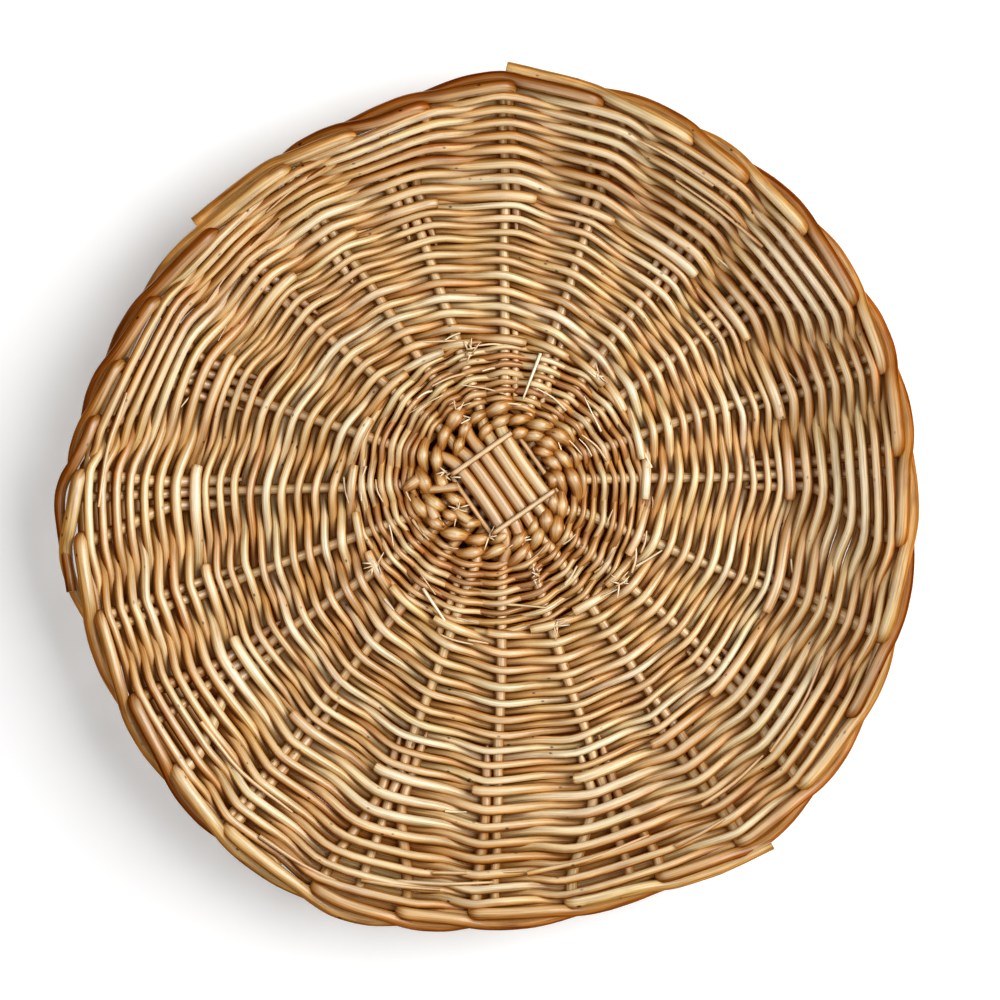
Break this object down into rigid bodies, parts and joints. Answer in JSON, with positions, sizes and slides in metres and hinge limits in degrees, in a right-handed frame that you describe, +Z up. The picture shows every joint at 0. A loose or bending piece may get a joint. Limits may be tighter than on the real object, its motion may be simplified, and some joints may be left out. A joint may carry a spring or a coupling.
{
  "type": "chip and dip basket",
  "caption": "Shallow round basket of peeled willow with a crossed stick base, spiral weave, flaring wall and rolled border, for serving chips round a dip bowl.",
  "frame": {"origin": "on the table, under the middle of the rim's box", "axes": "+Z up, out of the open side; +X and +Y as right and up in the picture, which looks straight down"},
  "size_m": [0.3732, 0.3754, 0.0484],
  "materials": {
    "willow_stick": "peeled willow, satin",
    "willow_stake": "peeled willow, satin",
    "willow_weaver": "peeled willow, satin",
    "willow_fine": "thin willow tips, matt"
  },
  "bodies": {
    "root": {"base_stick_01": "willow_stick", "base_stick_02": "willow_stick", "base_stick_03": "willow_stick", "base_stick_04": "willow_stick", "base_stick_05": "willow_stick", "base_stick_06": "willow_stick", "base_stick_07": "willow_stick", "base_stick_08": "willow_stick", "base_stick_09": "willow_stick", "base_stick_10": "willow_stick", "slath_tie": "willow_fine", "hub_pairing": "willow_fine", "fine_pairing_01": "willow_fine", "fine_pairing_02": "willow_fine", "weaver_01": "willow_weaver", "weaver_02": "willow_weaver", "weaver_03": "willow_weaver", "weaver_04": "willow_weaver", "weaver_05": "willow_weaver", "weaver_06": "willow_weaver", "weaver_07": "willow_weaver", "weaver_08": "willow_weaver", "weaver_09": "willow_weaver", "weaver_10": "willow_weaver", "weaver_11": "willow_weaver", "weaver_12": "willow_weaver", "weaver_13": "willow_weaver", "weaver_14": "willow_weaver", "weaver_15": "willow_weaver", "weaver_16": "willow_weaver", "weaver_17": "willow_weaver", "weaver_18": "willow_weaver", "weaver_19": "willow_weaver", "weaver_20": "willow_weaver", "side_stake_01": "willow_stake", "side_stake_02": "willow_stake", "side_stake_03": "willow_stake", "side_stake_04": "willow_stake", "side_stake_05": "willow_stake", "side_stake_06": "willow_stake", "side_stake_07": "willow_stake", "side_stake_08": "willow_stake", "side_stake_09": "willow_stake", "side_stake_10": "willow_stake", "side_stake_11": "willow_stake", "side_stake_12": "willow_stake", "side_stake_13": "willow_stake", "side_stake_14": "willow_stake", "side_stake_15": "willow_stake", "side_stake_16": "willow_stake", "side_stake_17": "willow_stake", "side_stake_18": "willow_stake", "side_stake_19": "willow_stake", "side_stake_20": "willow_stake"}
  },
  "joints": []
}
